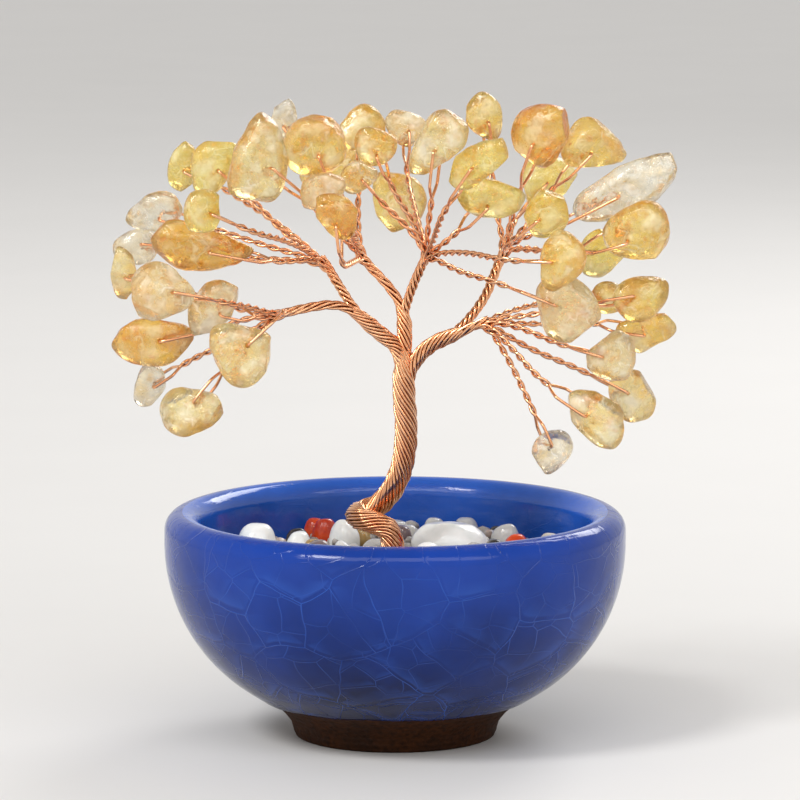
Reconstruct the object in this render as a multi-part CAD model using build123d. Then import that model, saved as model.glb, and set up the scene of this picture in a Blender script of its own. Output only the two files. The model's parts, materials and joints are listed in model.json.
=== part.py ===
from build123d import *
import os
from dataclasses import dataclass
from functools import cached_property
from math import acos, cos, degrees, pi, radians, sin, sqrt, tan

# Gemstone tree ornament: a twisted copper wire tree hung with drilled crystal chips, planted in a glazed bowl.
# Millimetres, +Z up. The origin is the centre of the bowl's foot, on the surface that it stands on.
# The front faces -Y. Depths are measured from the trunk, and positive ones lie behind it.

# Bowl
RIM_DIAMETER = 56.0
BOWL_HEIGHT = 27.5
WALL = 4.4
RIM_BAND = 3.8
FLOOR_DIAMETER = 14.0
BELLY_BASE = 2.6
FOOT_DIAMETER = 25.4
FOOT_HEIGHT = 1.8
FOOT_TAPER = 0.5
FOOT_FLARE = 3.4
FOOT_COVE = 0.35
FOOT_RING_WIDTH = 3.6
FOOT_RECESS = 0.8

# Potting plaster and the stones on it
FILL_DEPTH = 6.8
STONE_LENGTH = 4.4
STONE_HEIGHT = 3.4
STONE_GAP = 0.15
STONE_CROWDING = 16
STONE_LENGTH_SHARES = (0.66, 1.0)
STONE_HEIGHT_SHARES = (0.7, 1.0)
STONE_WIDTH_SHARE = 0.86
STONE_SINK_SHARE = 0.35

# Copper wire
WIRE_DIAMETER = 0.35
TRUNK_DIAMETER = 2.75
TRUNK_TAIL_DEPTH = 4.0
LIMB_DIAMETER = 1.9
LIMB_TIP_DIAMETER = 1.3
BRANCH_DIAMETER = 1.2
FAN_LENGTH = 4.6
FAN_LIMIT_SHARE = 0.85
FORK_SWELL_SHARE = 1.12
NECK_SWELL_SHARE = 1.25
LOOP_BEND_RADIUS = 0.3
ARC_SHARE = 0.45

# Crystal chips
CHIP_LENGTH = 7.8
CHIP_THICKNESS_SHARE = 0.55
HOLE_CLEARANCE = 0.09
HOLE_SHIFT_SHARE = 0.3
FACE_GAP = 0.3
EDGE_GAP = 0.35
SWING_ANGLE = 12.0
ROLL_ANGLE = 18.0
FACE_TURN_SHARE = 0.45
DENT_SHARE = 0.07
TAPER_SHARE = 0.22
SECTION_HEIGHT_SHARES = (-1.0, -0.62, 0.0, 0.62, 1.0)
SECTION_SIZE_SHARES = (0.5, 0.88, 1.0, 0.88, 0.5)
OUTLINE_POINTS = 12
OUTLINE_SAMPLES = 72

# How the photograph's pixels lie on the tree: columns and rows of the frame, and the line of sight
CROWN_WIDTH = 68.5
CROWN_DEPTH = 42.0
CROWN_COLUMNS = 566
AXIS_COLUMN = 395
FILL_ROW = 568
SIGHT_DISTANCE_SHARE = 10.0
SIGHT_RISE_SHARE = 1.78

GOLDEN_ANGLE = pi * (3 - sqrt(5))

RIM_RADIUS = RIM_DIAMETER / 2
FILL_TOP = BOWL_HEIGHT - FILL_DEPTH
BELLY_CENTRE = (FLOOR_DIAMETER / 2, BOWL_HEIGHT - RIM_BAND)
BELLY_REACH = RIM_RADIUS - BELLY_CENTRE[0]
BELLY_DROP = BELLY_CENTRE[1] - BELLY_BASE
FLOOR_TOP = BELLY_BASE + WALL
TWIG_DIAMETER = 2 * WIRE_DIAMETER
HOLE_DIAMETER = WIRE_DIAMETER + 2 * HOLE_CLEARANCE
PIXEL = CROWN_WIDTH / CROWN_COLUMNS
SIGHT_DISTANCE = SIGHT_DISTANCE_SHARE * CROWN_WIDTH
EYE = Vector(0, -SIGHT_DISTANCE, FILL_TOP + SIGHT_RISE_SHARE * CROWN_WIDTH)


def seen_at(column, row, depth_share):
    """The point that shows at a pixel, at a share of the crown's half depth from the trunk."""
    depth = depth_share * CROWN_DEPTH / 2
    flat = Vector((column - AXIS_COLUMN) * PIXEL, 0, FILL_TOP + (FILL_ROW - row) * PIXEL)
    return EYE + (flat - EYE) * (1 + depth / SIGHT_DISTANCE)


def bent_path(points):
    """Straight runs between the points, joined by tangent arcs as large as the runs allow."""
    radii = []
    for before, corner, after in zip(points, points[1:], points[2:]):
        run_in = corner - before
        run_out = after - corner
        half_turn = radians(run_in.get_angle(run_out) / 2)
        radii.append(ARC_SHARE * min(run_in.length, run_out.length) / tan(half_turn))
    return FilletPolyline(*points, radius=radii)


def tube(path, diameter):
    """A round bar along a path."""
    return sweep(Plane(path @ 0, z_dir=path % 0) * Circle(diameter / 2), path)


def bar(start, end, diameter):
    """A straight round bar between two points."""
    run = end - start
    return Solid.make_cylinder(diameter / 2, run.length, Plane(start, z_dir=run))


# Trunk: the route runs from the fork down to the foot, where the bundle hooks round and dives into the plaster.
TRUNK_PIXELS = [(404, 350), (403, 388), (407, 428), (404, 462), (395, 488), (379, 508)]
HOOK_SHARES = [(-1.0, -0.1, -0.26), (-1.02, -1.45, -0.27), (0.09, -1.62, -0.5), (0.7, -1.55, -1.0)]
TAIL_SHARES = (0.72, -1.5)
TRUNK_FOOT_DEPTH_SHARE = 0.05


def trunk_points():
    points = [seen_at(column, row, 0) for column, row in TRUNK_PIXELS[:-1]]
    foot = seen_at(*TRUNK_PIXELS[-1], TRUNK_FOOT_DEPTH_SHARE)
    points.append(foot)
    for x_share, y_share, z_share in HOOK_SHARES:
        points.append(foot + Vector(x_share, y_share, z_share) * TRUNK_DIAMETER)
    tail = foot + Vector(*TAIL_SHARES) * TRUNK_DIAMETER
    points.append(Vector(tail.X, tail.Y, FILL_TOP - TRUNK_TAIL_DEPTH))
    return points


TRUNK_PATH = bent_path(trunk_points())


@dataclass
class Limb:
    """A bundle of wires that leaves its parent part way along, thins where it forks, and ends in a fan of twigs."""
    parent: str
    leaves_share: float
    fork_share: float
    seen: list

    @cached_property
    def path(self):
        parent_path = TRUNK_PATH if self.parent == "trunk" else LIMBS[self.parent].path
        return bent_path([parent_path @ self.leaves_share] + [seen_at(*pixel) for pixel in self.seen])

    @cached_property
    def root(self):
        """Where the twigs' own lines start, inside the limb's end."""
        return self.path @ 1 - (self.path % 1) * (BRANCH_DIAMETER / 2)

    def solid(self):
        if self.fork_share == 0:
            return tube(self.path, BRANCH_DIAMETER)
        thick = tube(self.path.trim(0, self.fork_share), LIMB_DIAMETER)
        return thick + tube(self.path.trim(self.fork_share, 1), LIMB_TIP_DIAMETER)


# Each seen point is a column, a row and a depth share.
LIMBS = {
    "left_limb": Limb("trunk", 0.0, 0.5, [
        (381, 334, -0.02), (358, 313, -0.06), (336, 302, -0.10), (300, 308, -0.16), (272, 316, -0.20)]),
    "middle_left_limb": Limb("trunk", 0.0, 0.5, [
        (405, 326, 0.02), (401, 302, 0.05), (383, 278, 0.07), (358, 253, 0.10)]),
    "right_limb": Limb("trunk", 0.0, 0.74, [
        (425, 347, -0.02), (446, 337, -0.06), (467, 329, -0.10), (489, 318, -0.14)]),
    "upper_left_limb": Limb("left_limb", 0.5, 0.0, [
        (336, 280, 0.0), (322, 256, 0.08)]),
    "middle_right_limb": Limb("middle_left_limb", 0.5, 0.0, [
        (413, 284, 0.0), (422, 264, -0.06), (429, 250, -0.12)]),
    "upper_right_limb": Limb("right_limb", 0.74, 0.0, [
        (484, 300, 0.0), (495, 270, 0.10), (506, 243, 0.18)]),
}


@dataclass
class Chip:
    """A drilled crystal chip that turns on the wire pin of its own twig."""
    limb: str
    column: int
    row: int
    depth_share: float
    length_share: float
    width_share: float
    lean: float

    @cached_property
    def order(self):
        return CHIPS.index(self)

    @cached_property
    def name(self):
        siblings = [chip for chip in CHIPS if chip.limb == self.limb]
        return f"chip_{self.limb.removesuffix('_limb')}_{siblings.index(self) + 1}"

    @property
    def length(self):
        return self.length_share * CHIP_LENGTH

    @property
    def width(self):
        return self.width_share * CHIP_LENGTH

    @property
    def thickness(self):
        return CHIP_THICKNESS_SHARE * self.width

    @cached_property
    def plane(self):
        """The chip's own axes: x along its long side, z along its hole, away from the viewer."""
        centre = seen_at(self.column, self.row, self.depth_share)
        away = (centre - LIMBS[self.limb].root).normalized()
        back = Vector(0, 1, 0)
        facing = (back - away * (FACE_TURN_SHARE * back.dot(away))).normalized()
        facing = facing.rotate(Axis((0, 0, 0), away), ROLL_ANGLE * cos(self.order * GOLDEN_ANGLE))
        lean = Vector(cos(radians(self.lean)), 0, sin(radians(self.lean)))
        return Plane(centre, x_dir=lean - facing * lean.dot(facing), z_dir=facing)

    @cached_property
    def stem(self):
        """The way from the limb to the chip, square to the hole."""
        away = self.plane.origin - LIMBS[self.limb].root
        return (away - self.plane.z_dir * away.dot(self.plane.z_dir)).normalized()

    @cached_property
    def hole(self):
        return self.plane.origin - self.stem * (HOLE_SHIFT_SHARE * self.width / 2)

    def outline(self, count):
        """Points round the chip's widest section: an egg with three soft corners."""
        points = []
        for step in range(count):
            angle = 2 * pi * step / count
            dent = 1 + DENT_SHARE * cos(3 * angle + self.order)
            taper = 1 + TAPER_SHARE * sin(self.order * GOLDEN_ANGLE) * cos(angle)
            points.append((self.length / 2 * cos(angle) * dent, self.width / 2 * sin(angle) * taper * dent))
        return points

    @cached_property
    def leg_height(self):
        """How far a wire leg's centre lies from the chip's middle section."""
        return self.thickness / 2 + FACE_GAP + WIRE_DIAMETER / 2

    @cached_property
    def neck(self):
        """Where the twisted pair parts into two legs, clear of the chip however far it swings."""
        reach = 0
        for x, y in self.outline(OUTLINE_SAMPLES):
            spoke = self.plane.from_local_coords((x, y, 0)) - self.hole
            if spoke.get_angle(-self.stem) < 2 * SWING_ANGLE:
                reach = max(reach, spoke.length)
        return self.hole - self.stem * (reach + EDGE_GAP + self.leg_height)

    @cached_property
    def twig_start(self):
        root = LIMBS[self.limb].root
        run = self.neck - root
        return root + run.normalized() * min(FAN_LENGTH, FAN_LIMIT_SHARE * run.length)


# Limb, column and row of the middle, depth share, length and width shares, lean of the long side in degrees.
CHIPS = [
    Chip("left_limb", 191, 411, -0.50, 1.02, 0.76, 5),
    Chip("left_limb", 150, 386, 0.10, 0.80, 0.50, 80),
    Chip("left_limb", 154, 341, -0.15, 1.32, 0.74, 2),
    Chip("left_limb", 240, 352, -0.85, 1.05, 0.90, -40),
    Chip("left_limb", 213, 306, -0.35, 1.06, 0.68, 55),
    Chip("left_limb", 161, 291, -0.70, 1.02, 0.88, 10),
    Chip("left_limb", 124, 275, 0.20, 0.88, 0.42, 95),
    Chip("upper_left_limb", 201, 246, -0.28, 1.62, 0.74, -12),
    Chip("upper_left_limb", 138, 245, 0.35, 0.78, 0.58, 20),
    Chip("upper_left_limb", 156, 212, 0.15, 0.92, 0.62, 20),
    Chip("upper_left_limb", 204, 209, -0.75, 0.74, 0.60, 70),
    Chip("upper_left_limb", 214, 165, 0.10, 0.98, 0.68, 60),
    Chip("upper_left_limb", 184, 166, 0.55, 0.86, 0.44, 75),
    Chip("middle_left_limb", 260, 161, -0.36, 1.48, 0.90, 75),
    Chip("middle_left_limb", 284, 122, 0.45, 0.82, 0.42, 80),
    Chip("middle_left_limb", 316, 142, -0.06, 1.05, 0.95, 60),
    Chip("middle_left_limb", 362, 129, 0.40, 0.84, 0.70, 20),
    Chip("middle_left_limb", 337, 214, -0.80, 0.82, 0.60, -50),
    Chip("middle_left_limb", 322, 190, -0.45, 0.74, 0.60, 20),
    Chip("middle_left_limb", 330, 168, 0.90, 1.05, 0.80, 35),
    Chip("middle_right_limb", 376, 146, -0.42, 0.68, 0.60, 0),
    Chip("middle_right_limb", 406, 127, 0.60, 0.66, 0.56, -20),
    Chip("middle_right_limb", 438, 142, -0.20, 1.22, 0.68, 50),
    Chip("middle_right_limb", 359, 175, -0.10, 0.62, 0.52, 30),
    Chip("middle_right_limb", 398, 197, 0.75, 1.06, 0.84, -70),
    Chip("middle_right_limb", 478, 161, -0.72, 1.26, 0.56, 33),
    Chip("middle_right_limb", 490, 197, -0.25, 1.12, 0.64, -12),
    Chip("middle_right_limb", 561, 261, -0.95, 0.96, 0.68, 75),
    Chip("middle_right_limb", 567, 309, -0.60, 1.14, 0.94, -50),
    Chip("upper_right_limb", 484, 116, 0.30, 0.80, 0.56, 110),
    Chip("upper_right_limb", 540, 133, -0.05, 1.06, 0.92, 60),
    Chip("upper_right_limb", 592, 145, 0.40, 1.06, 0.82, -15),
    Chip("upper_right_limb", 625, 189, -0.05, 1.86, 0.76, 28),
    Chip("upper_right_limb", 547, 212, -0.62, 0.80, 0.70, 60),
    Chip("upper_right_limb", 637, 231, -0.35, 1.10, 0.94, 25),
    Chip("upper_right_limb", 600, 252, 0.55, 0.86, 0.70, 60),
    Chip("upper_right_limb", 548, 178, 0.90, 1.00, 0.76, 15),
    Chip("right_limb", 606, 297, 0.35, 0.66, 0.54, 0),
    Chip("right_limb", 640, 297, -0.05, 0.92, 0.70, 25),
    Chip("right_limb", 648, 331, 0.25, 1.00, 0.62, 15),
    Chip("right_limb", 611, 358, -0.45, 0.82, 0.74, 20),
    Chip("right_limb", 632, 396, -0.05, 0.90, 0.70, -75),
    Chip("right_limb", 597, 417, -0.60, 1.10, 0.76, -40),
    Chip("right_limb", 552, 453, -0.45, 0.74, 0.58, 55),
]

# Stones that stand out: node, column, depth share of the bed's radius, length share, height share
FEATURE_STONES = [
    ("white_stones", 450, 0.34, 2.2, 1.3),
    ("white_stones", 256, 0.32, 1.25, 1.25),
    ("white_stones", 345, 0.42, 1.0, 1.3),
    ("red_stones", 291, 0.40, 0.85, 1.0),
    ("red_stones", 325, 0.66, 0.85, 1.05),
    ("red_stones", 518, 0.20, 0.8, 1.0),
    ("clear_stones", 506, 0.46, 0.85, 1.1),
    ("dark_stones", 494, 0.10, 0.8, 0.9),
]
STONE_NODES = ("dark_stones", "clear_stones", "white_stones", "dark_stones", "clear_stones", "red_stones")


def cavity_edges():
    """The bowl's inside from the axis up to the rim, in the plane of radius and height."""
    centre_x, centre_z = BELLY_CENTRE
    floor = Line((0, FLOOR_TOP), (centre_x, FLOOR_TOP))
    side = EllipticalCenterArc(BELLY_CENTRE, BELLY_REACH - WALL, BELLY_DROP - WALL, start_angle=270)
    band = Line(side @ 1, (RIM_RADIUS - WALL, BOWL_HEIGHT - WALL / 2))
    return floor, side, band


def bowl():
    floor, side, band = cavity_edges()
    foot_radius = FOOT_DIAMETER / 2 - FOOT_TAPER
    foot = Polyline(
        (0, FLOOR_TOP),
        (0, FOOT_RECESS),
        (foot_radius - FOOT_RING_WIDTH, FOOT_RECESS),
        (foot_radius - FOOT_RING_WIDTH, 0),
        (foot_radius, 0),
        (FOOT_DIAMETER / 2, FOOT_HEIGHT),
    )
    rise = degrees(acos((FOOT_DIAMETER / 2 + FOOT_FLARE - BELLY_CENTRE[0]) / BELLY_REACH))
    belly = EllipticalCenterArc(BELLY_CENTRE, BELLY_REACH, BELLY_DROP, start_angle=360 - rise, arc_size=rise)
    cove = SagittaArc(foot @ 1, belly @ 0, FOOT_COVE)
    outer_band = Line(belly @ 1, (RIM_RADIUS, BOWL_HEIGHT - WALL / 2))
    lip = ThreePointArc(outer_band @ 1, (RIM_RADIUS - WALL / 2, BOWL_HEIGHT), band @ 1)
    section = make_face([foot, cove, belly, outer_band, lip, band, side, floor])
    return revolve(Plane.XZ * section, Axis.Z)


def plaster_fill(trunk_solid):
    """The cast plug that holds the trunk's tail."""
    floor, side, band = cavity_edges()
    close = Polyline(band @ 1, (0, BOWL_HEIGHT - WALL / 2), (0, FLOOR_TOP))
    plug = revolve(Plane.XZ * make_face([floor, side, band, close]), Axis.Z)
    plug = split(plug, Plane.XY.offset(FILL_TOP), keep=Keep.BOTTOM)
    return plug - trunk_solid


def stone(centre, length, height, turn):
    """A pebble bedded in the plaster's face."""
    half_width = length * STONE_WIDTH_SHARE / 2
    half_height = height / (2 - 2 * STONE_SINK_SHARE)
    pebble = scale(Sphere(1), by=(length / 2, half_width, half_height))
    pebble = Pos(centre.X, centre.Y, FILL_TOP + height - half_height) * (Rot(0, 0, turn) * pebble)
    return split(pebble, Plane.XY.offset(FILL_TOP), keep=Keep.TOP)


def between(shares, swing):
    """A share between two, for a swing from -1 to 1."""
    low, high = shares
    return low + (high - low) * (1 + swing) / 2


def stones():
    """Pebbles over the plaster, clear of the trunk's hook, by node."""
    drop_share = (BELLY_CENTRE[1] - FILL_TOP) / (BELLY_DROP - WALL)
    bed_radius = BELLY_CENTRE[0] + (BELLY_REACH - WALL) * sqrt(1 - drop_share ** 2) - STONE_GAP
    hook = [TRUNK_PATH @ (step / OUTLINE_SAMPLES) for step in range(OUTLINE_SAMPLES + 1)]
    laid = []

    def has_room(centre, length, height):
        if centre.length + length / 2 > bed_radius:
            return False
        for other, other_length, other_height, other_node in laid:
            if (centre - other).length < (length + other_length) / 2 + STONE_GAP:
                return False
        for point in hook:
            low = point.Z - TRUNK_DIAMETER / 2 - STONE_GAP < FILL_TOP + height
            beside = (Vector(point.X, point.Y) - centre).length
            if low and beside < (TRUNK_DIAMETER + length) / 2 + STONE_GAP:
                return False
        return True

    for node, column, depth_share, length_share, height_share in FEATURE_STONES:
        depth = depth_share * bed_radius
        centre = Vector((column - AXIS_COLUMN) * PIXEL * (1 + depth / SIGHT_DISTANCE), depth)
        if has_room(centre, length_share * STONE_LENGTH, height_share * STONE_HEIGHT):
            laid.append((centre, length_share * STONE_LENGTH, height_share * STONE_HEIGHT, node))
    tries = int(STONE_CROWDING * (bed_radius / STONE_LENGTH) ** 2)
    for step in range(tries):
        centre = Vector(bed_radius * sqrt(step / tries), 0).rotate(Axis.Z, degrees(step * GOLDEN_ANGLE))
        length = STONE_LENGTH * between(STONE_LENGTH_SHARES, sin(step))
        height = STONE_HEIGHT * between(STONE_HEIGHT_SHARES, cos(2 * step))
        if has_room(centre, length, height):
            laid.append((centre, length, height, STONE_NODES[len(laid) % len(STONE_NODES)]))
    by_node = {}
    for order, (centre, length, height, node) in enumerate(laid):
        by_node.setdefault(node, []).append(stone(centre, length, height, degrees(order * GOLDEN_ANGLE)))
    return by_node


def trunk():
    fork = Pos(*(TRUNK_PATH @ 0)) * Sphere(TRUNK_DIAMETER * FORK_SWELL_SHARE / 2)
    return tube(TRUNK_PATH, TRUNK_DIAMETER) + fork


def limb_solid(name, cut_by):
    """A limb with the first stretch of its twigs, where their wires still lie together."""
    limb = LIMBS[name]
    solid = limb.solid()
    for chip in CHIPS:
        if chip.limb == name:
            solid += bar(limb.root, chip.twig_start, TWIG_DIAMETER)
    for other in cut_by:
        solid -= other
    return solid


def twig(chip):
    """A twisted pair that parts at the neck, lies along both faces of its chip and pins it through the hole."""
    across = chip.plane.z_dir
    low = across * (WIRE_DIAMETER / 2)
    high = across * chip.leg_height
    shoulder = chip.neck + chip.stem * chip.leg_height
    loop = FilletPolyline(
        chip.neck + low,
        shoulder + high,
        chip.hole + high,
        chip.hole - high,
        shoulder - high,
        chip.neck - low,
        radius=LOOP_BEND_RADIUS,
    )
    half_knot = across * (TWIG_DIAMETER * NECK_SWELL_SHARE / 2)
    knot = bar(chip.neck - half_knot, chip.neck + half_knot, TWIG_DIAMETER * NECK_SWELL_SHARE)
    return bar(chip.twig_start, chip.neck, TWIG_DIAMETER) + knot + tube(loop, WIRE_DIAMETER)


def chip_solid(chip):
    """A tumbled chip: five sections of its outline, drilled through."""
    sections = []
    for height_share, size_share in zip(SECTION_HEIGHT_SHARES, SECTION_SIZE_SHARES):
        points = [(x * size_share, y * size_share) for x, y in chip.outline(OUTLINE_POINTS)]
        face = make_face(Spline(*points, periodic=True))
        sections.append(Pos(0, 0, height_share * chip.thickness / 2) * face)
    drill = Cylinder(HOLE_DIAMETER / 2, 2 * chip.thickness)
    hole = chip.plane.to_local_coords(chip.hole)
    return chip.plane * (loft(sections) - Pos(hole.X, hole.Y, 0) * drill)


TWIG_NODES = {
    "left_twigs": ("left_limb", "upper_left_limb"),
    "middle_twigs": ("middle_left_limb", "middle_right_limb"),
    "right_twigs": ("right_limb", "upper_right_limb"),
}


def nodes():
    """Every node's solids, by name."""
    made = {"bowl": bowl(), "trunk": trunk()}
    made["plaster_fill"] = plaster_fill(made["trunk"])
    for node, pebbles in stones().items():
        made[node] = Compound(children=pebbles)
    wood = [made["trunk"]]
    for name in LIMBS:
        made[name] = limb_solid(name, wood)
        wood.append(made[name])
    for node, limbs in TWIG_NODES.items():
        made[node] = Compound(children=[twig(chip) for chip in CHIPS if chip.limb in limbs])
    for chip in CHIPS:
        made[chip.name] = chip_solid(chip)
    return made


def main():
    os.makedirs("parts", exist_ok=True)
    for name, shape in nodes().items():
        export_step(shape, f"parts/{name}.step")


if __name__ == "__main__":
    main()
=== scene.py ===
import json
import math
import random

import bmesh
import bpy
from bpy.props import FloatProperty, FloatVectorProperty, IntProperty, PointerProperty
from mathutils import Matrix, Vector, noise


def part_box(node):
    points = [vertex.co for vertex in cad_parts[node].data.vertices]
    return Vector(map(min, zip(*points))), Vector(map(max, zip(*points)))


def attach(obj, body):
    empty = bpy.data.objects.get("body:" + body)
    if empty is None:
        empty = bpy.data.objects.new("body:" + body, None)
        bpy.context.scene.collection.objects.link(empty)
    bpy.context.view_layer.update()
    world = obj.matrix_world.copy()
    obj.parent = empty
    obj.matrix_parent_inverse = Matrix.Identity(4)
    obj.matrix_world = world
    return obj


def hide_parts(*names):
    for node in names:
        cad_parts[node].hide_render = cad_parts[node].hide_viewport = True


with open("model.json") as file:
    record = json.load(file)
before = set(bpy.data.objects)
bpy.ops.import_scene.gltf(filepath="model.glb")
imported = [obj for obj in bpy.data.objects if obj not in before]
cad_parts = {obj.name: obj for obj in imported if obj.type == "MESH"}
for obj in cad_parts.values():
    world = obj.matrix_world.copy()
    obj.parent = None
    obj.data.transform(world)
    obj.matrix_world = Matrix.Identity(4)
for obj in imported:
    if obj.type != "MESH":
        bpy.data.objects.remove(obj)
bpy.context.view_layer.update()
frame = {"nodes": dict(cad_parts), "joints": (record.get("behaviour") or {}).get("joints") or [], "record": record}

bl_info = {
    "name": "Gemstone Tree Ornament",
    "version": (1, 0, 0),
    "blender": (4, 5, 0),
    "location": "View3D > Sidebar > Ornament",
    "description": "Dresses a wire tree with crystal chips, pebbles and a crackle-glazed bowl",
    "category": "Object",
}

ROOT = "base"
FILL_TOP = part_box("plaster_fill")[1].z
BOWL_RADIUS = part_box("bowl")[1].x
BOWL_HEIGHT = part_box("bowl")[1].z
GOLDEN_ANGLE = math.pi * (3 - math.sqrt(5))

# Steps round a twist and round the turned bowl and along its outline
STEPS_IN_TURN = 20
SPIN_STEPS = 192
BELLY_STEPS = 48
LIP_STEPS = 24
COVE_STEPS = 8
SHARP_ANGLE = math.radians(50)

# How much of a worn flat is pressed in, the points of route by which limbs and twigs start back inside what
# carries them, the diameters in which a bundle draws in, and how far strands and twigs stray
PRESS_SHARE = 0.85
LIMB_LEAD = 8
TWIG_LEAD = 10
EASE_SHARE = 1.3
STRAND_JITTER = 0.06
TWIG_BOW = 0.05

# The pixels' size and the line of sight, as the solids use them, in metres
PIXEL = 0.0685 / 566
AXIS_COLUMN = 395
FILL_ROW = 568
HALF_DEPTH = 0.021
EYE = Vector((0, -0.685, FILL_TOP + 0.12193))

# The trunk's route from the fork down to its foot, the hook in trunk diameters from the foot, and the tail
TRUNK_PIXELS = [(404, 350), (403, 388), (407, 428), (404, 462), (395, 488)]
TRUNK_FOOT = (379, 508, 0.05)
HOOK_SHARES = [(-1.0, -0.1, -0.26), (-1.02, -1.45, -0.27), (0.09, -1.62, -0.5), (0.7, -1.55, -1.0)]
TAIL_SHARES = (0.72, -1.5)
TAIL_DEPTH = 0.004

# Each limb: its parent, the share of the parent's route where it leaves, the share of its own where it forks
# and thins (none for the upper limbs), and its columns, rows and depth shares
LIMBS = {
    "left_limb": ("trunk", 0.0, 0.5, [
        (381, 334, -0.02), (358, 313, -0.06), (336, 302, -0.10), (300, 308, -0.16), (272, 316, -0.20)]),
    "middle_left_limb": ("trunk", 0.0, 0.5, [
        (405, 326, 0.02), (401, 302, 0.05), (383, 278, 0.07), (358, 253, 0.10)]),
    "right_limb": ("trunk", 0.04, 0.74, [
        (425, 347, -0.02), (446, 337, -0.06), (467, 329, -0.10), (489, 318, -0.14)]),
    "upper_left_limb": ("left_limb", 0.5, None, [
        (336, 280, 0.0), (322, 256, 0.08)]),
    "middle_right_limb": ("middle_left_limb", 0.5, None, [
        (413, 284, 0.0), (422, 264, -0.06), (429, 250, -0.12)]),
    "upper_right_limb": ("right_limb", 0.74, None, [
        (484, 300, 0.0), (495, 270, 0.10), (506, 243, 0.18)]),
}
TWIG_NODES = {
    "left_twigs": ("left_limb", "upper_left_limb"),
    "middle_twigs": ("middle_left_limb", "middle_right_limb"),
    "right_twigs": ("right_limb", "upper_right_limb"),
}

# Which finish each chip shows, by its name after chip_; the rest are pale
CHIP_FINISHES = {
    "clear": ("left_2", "upper_left_2", "upper_left_3", "middle_left_2", "upper_right_4", "right_7"),
    "amber": ("left_3", "upper_left_1", "upper_right_2", "middle_left_5"),
    "gold": ("middle_left_3", "middle_left_4", "middle_right_5", "middle_right_8", "upper_right_1",
             "upper_right_3", "upper_right_6", "right_1", "right_2", "right_3",
             "middle_left_7", "middle_right_1"),
    "lemon": ("upper_left_4", "upper_left_5", "upper_left_6", "middle_right_6", "middle_right_7",
              "upper_right_7", "upper_right_5", "upper_right_8"),
    "peach": ("left_5", "left_6", "middle_right_9", "right_4", "middle_right_2", "middle_left_6"),
}
STONE_SLOTS = {
    "white_stones": "white_stone",
    "clear_stones": "clear_stone",
    "red_stones": "red_stone",
    "dark_stones": "dark_stone",
}


class BowlSettings(bpy.types.PropertyGroup):
    """Sizes and colours of the glazed bowl."""
    wall: FloatProperty(name="Wall", description="Thickness of the wall and lip",
                        default=0.0044, unit="LENGTH")
    rim_band: FloatProperty(name="Rim Band", description="Upright stretch below the lip",
                            default=0.0038, unit="LENGTH")
    floor_diameter: FloatProperty(name="Floor", description="Width of the flat inside",
                                  default=0.014, unit="LENGTH")
    belly_base: FloatProperty(name="Belly Base", description="Lowest point of the belly's curve",
                              default=0.0026,
                              unit="LENGTH")
    foot_diameter: FloatProperty(name="Foot", description="Width of the foot at its top",
                                 default=0.0254, unit="LENGTH")
    foot_height: FloatProperty(name="Foot Height", description="Height of the foot",
                               default=0.0018, unit="LENGTH")
    foot_taper: FloatProperty(name="Foot Taper", description="How far the foot draws in",
                              default=0.0005, unit="LENGTH")
    foot_flare: FloatProperty(name="Foot Flare", description="Reach of the bare cove",
                              default=0.0034, unit="LENGTH")
    foot_cove: FloatProperty(name="Foot Cove", description="Depth of the bare cove",
                             default=0.00035, unit="LENGTH")
    foot_ring: FloatProperty(name="Foot Ring", description="Width of the ring it stands on", default=0.0036,
                             unit="LENGTH")
    foot_recess: FloatProperty(name="Recess", description="Depth under the foot",
                               default=0.0008, unit="LENGTH")
    glaze_roll: FloatProperty(name="Glaze Roll", description="Thickness of the glaze's edge",
                              default=0.00022,
                              unit="LENGTH")
    glaze_waver: FloatProperty(name="Glaze Waver", description="How far the glaze's edge runs up and down",
                               default=0.0005, unit="LENGTH")
    crackle: FloatProperty(name="Crackle", description="Size of the crackle's cells",
                           default=0.0072, unit="LENGTH")
    # Deep Blue is both the glaze's darker clouds and the painted shade towards the foot
    deep_blue: FloatVectorProperty(name="Deep Blue", description="Thick glaze", subtype="COLOR",
                                   default=(0.0018, 0.006, 0.042))
    bright_blue: FloatVectorProperty(name="Bright Blue", description="Thin glaze", subtype="COLOR",
                                     default=(0.009, 0.050, 0.34))
    # Painted light: a lighter blue for the glaze inside the bowl, standing in for light falling inside
    painted_lit_inner_blue: FloatVectorProperty(name="Inner Blue", description="Glaze inside the bowl", subtype="COLOR",
                                    default=(0.024, 0.125, 0.62))
    crackle_blue: FloatVectorProperty(name="Crackle Blue", description="Crackle lines", subtype="COLOR",
                                      default=(0.024, 0.094, 0.45))
    clay: FloatVectorProperty(name="Clay", description="Bare clay of the foot", subtype="COLOR",
                              default=(0.030, 0.009, 0.002))


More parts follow.
